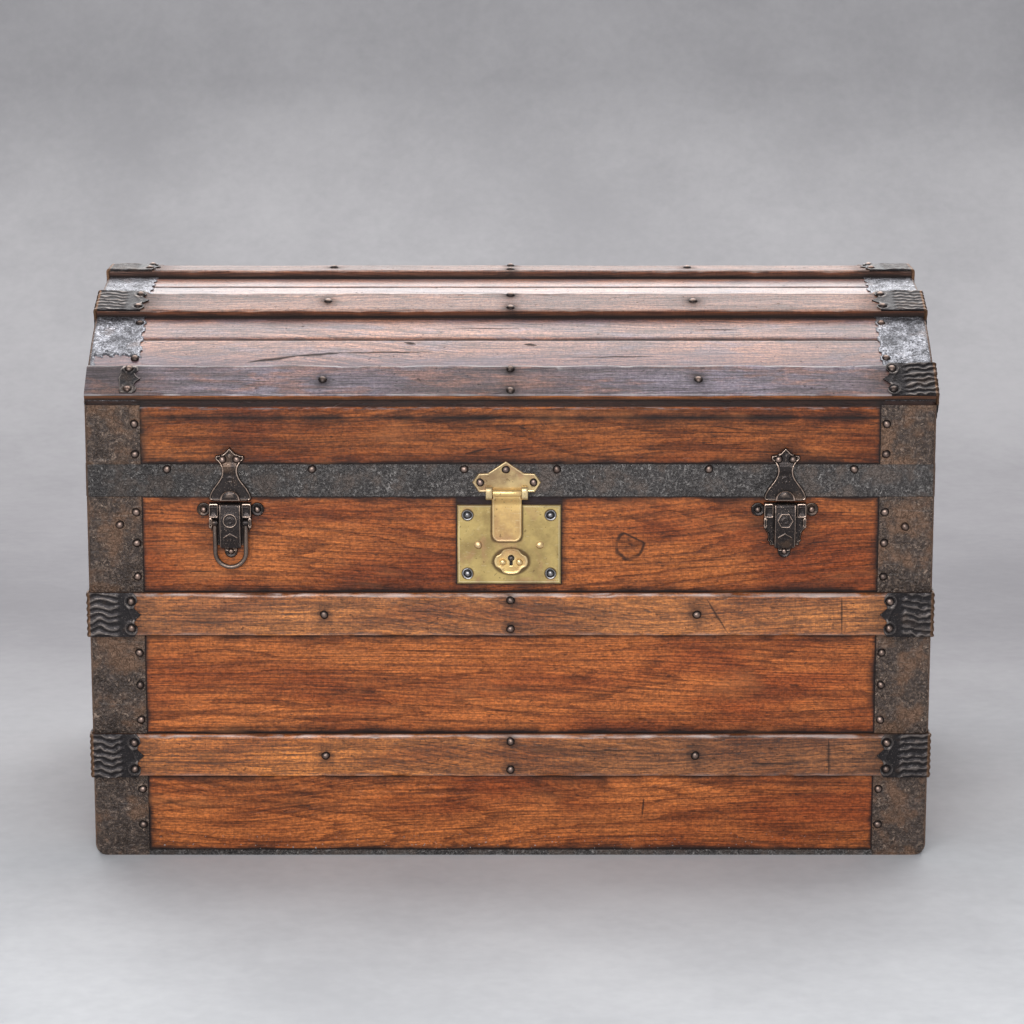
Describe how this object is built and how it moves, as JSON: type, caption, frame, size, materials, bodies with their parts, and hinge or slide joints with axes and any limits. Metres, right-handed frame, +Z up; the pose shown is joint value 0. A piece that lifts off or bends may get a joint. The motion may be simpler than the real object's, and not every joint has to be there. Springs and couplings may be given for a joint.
{
  "type": "dome top trunk",
  "caption": "Wooden trunk with a hinged barrel-shaped lid, hardwood slats, sheet iron corners, a brass hasp lock, drawbolt catches and leather end handles.",
  "frame": {"origin": "middle of the trunk's footprint, on the floor it stands on", "axes": "+Z up, -Y towards the front with the lock, +X to the right-hand end as one faces the front"},
  "size_m": [0.9016, 0.5364, 0.5832],
  "materials": {
    "stained_boards": "orange-brown stained softwood, worn varnish",
    "bare_wood": "bare planed softwood",
    "oak_slats": "golden oak, rounded worn edges",
    "dome_wood": "darkened and greyed oak and staves with a low sheen",
    "sheet_iron": "black and brown worn sheet iron",
    "black_castings": "blackened castings with rubbed edges",
    "nail_iron": "domed iron nail heads, rubbed bright on top",
    "brass": "aged brass, satin",
    "steel": "plain steel inside the lock and hinges",
    "leather": "dark brown harness leather"
  },
  "bodies": {
    "trunk_body": {"back_boards": "stained_boards", "back_slats": "oak_slats", "body_nails": "nail_iron", "bottom_boards": "bare_wood", "bottom_edge_iron": "sheet_iron", "catch_base_left": "black_castings", "catch_base_right": "black_castings", "catch_pins": "steel", "catch_rivets": "nail_iron", "corner_iron_front_left": "sheet_iron", "corner_iron_front_right": "sheet_iron", "corner_irons_back": "sheet_iron", "end_boards_left": "stained_boards", "end_boards_right": "stained_boards", "end_slats": "oak_slats", "front_boards": "stained_boards", "front_slat_lower": "oak_slats", "front_slat_upper": "oak_slats", "handle_caps_left": "black_castings", "handle_caps_right": "black_castings", "hinge_body_leaves": "sheet_iron", "hinge_pins": "steel", "lock_case": "steel", "lock_escutcheon": "brass", "lock_plate": "brass", "lock_rivets": "brass", "lock_screws": "nail_iron", "lock_spring": "steel", "slat_clamps_back": "black_castings", "slat_clamps_front": "black_castings", "slat_nails": "nail_iron"},
    "lid": {"catch_plate_left": "black_castings", "catch_plate_right": "black_castings", "dome_edge_iron_left": "sheet_iron", "dome_edge_iron_right": "sheet_iron", "dome_slat_clamps": "black_castings", "dome_slat_front": "dome_wood", "dome_slat_front_upper": "dome_wood", "dome_slat_nails": "nail_iron", "dome_slat_top": "dome_wood", "dome_slats_back": "dome_wood", "dome_staves": "dome_wood", "hasp_pin": "steel", "hasp_plate": "brass", "hinge_lid_leaves": "sheet_iron", "lid_back_boards": "stained_boards", "lid_band": "sheet_iron", "lid_corner_irons": "sheet_iron", "lid_end_boards_left": "stained_boards", "lid_end_boards_right": "stained_boards", "lid_front_boards": "stained_boards", "lid_hardware_rivets": "nail_iron", "lid_nails": "nail_iron"},
    "hasp": {"hasp": "brass"},
    "lock_bolt": {"lock_bolt": "brass"},
    "catch_lever_left": {"catch_lever_left": "black_castings"},
    "catch_lever_right": {"catch_lever_right": "black_castings"},
    "catch_bail_left": {"catch_bail_left": "black_castings"},
    "handle_left": {"handle_strap_left": "leather"},
    "handle_right": {"handle_strap_right": "leather"}
  },
  "joints": [
    {"name": "lid_hinge", "type": "hinge", "parent": "trunk_body", "child": "lid", "pos_m": [0, 0.2577, 0.3792], "axis": [-1, 0, 0], "range_deg": [0, 100]},
    {"name": "hasp_hinge", "type": "hinge", "parent": "lid", "child": "hasp", "pos_m": [-0.0037, -0.2592, 0.3838], "axis": [-1, 0, 0], "range_deg": [0, 160]},
    {"name": "lock_bolt_slide", "type": "slide", "parent": "trunk_body", "child": "lock_bolt", "axis": [-1, 0, 0], "range_m": [0, 0.009]},
    {"name": "catch_lever_left_pivot", "type": "hinge", "parent": "trunk_body", "child": "catch_lever_left", "pos_m": [-0.2843, -0.2598, 0.3692], "axis": [-1, 0, 0], "range_deg": [0, 95]},
    {"name": "catch_lever_right_pivot", "type": "hinge", "parent": "trunk_body", "child": "catch_lever_right", "pos_m": [0.2784, -0.2598, 0.3692], "axis": [-1, 0, 0], "range_deg": [0, 95]},
    {"name": "catch_bail_left_pivot", "type": "hinge", "parent": "trunk_body", "child": "catch_bail_left", "pos_m": [-0.2843, -0.2592, 0.353], "axis": [-1, 0, 0], "range_deg": [0, 100]},
    {"name": "handle_right_swing", "type": "hinge", "parent": "trunk_body", "child": "handle_right", "pos_m": [0.4413, 0, 0.207], "axis": [0, -1, 0], "range_deg": [0, 165]},
    {"name": "handle_left_swing", "type": "hinge", "parent": "trunk_body", "child": "handle_left", "pos_m": [-0.4413, 0, 0.207], "axis": [0, 1, 0], "range_deg": [0, 165]}
  ]
}
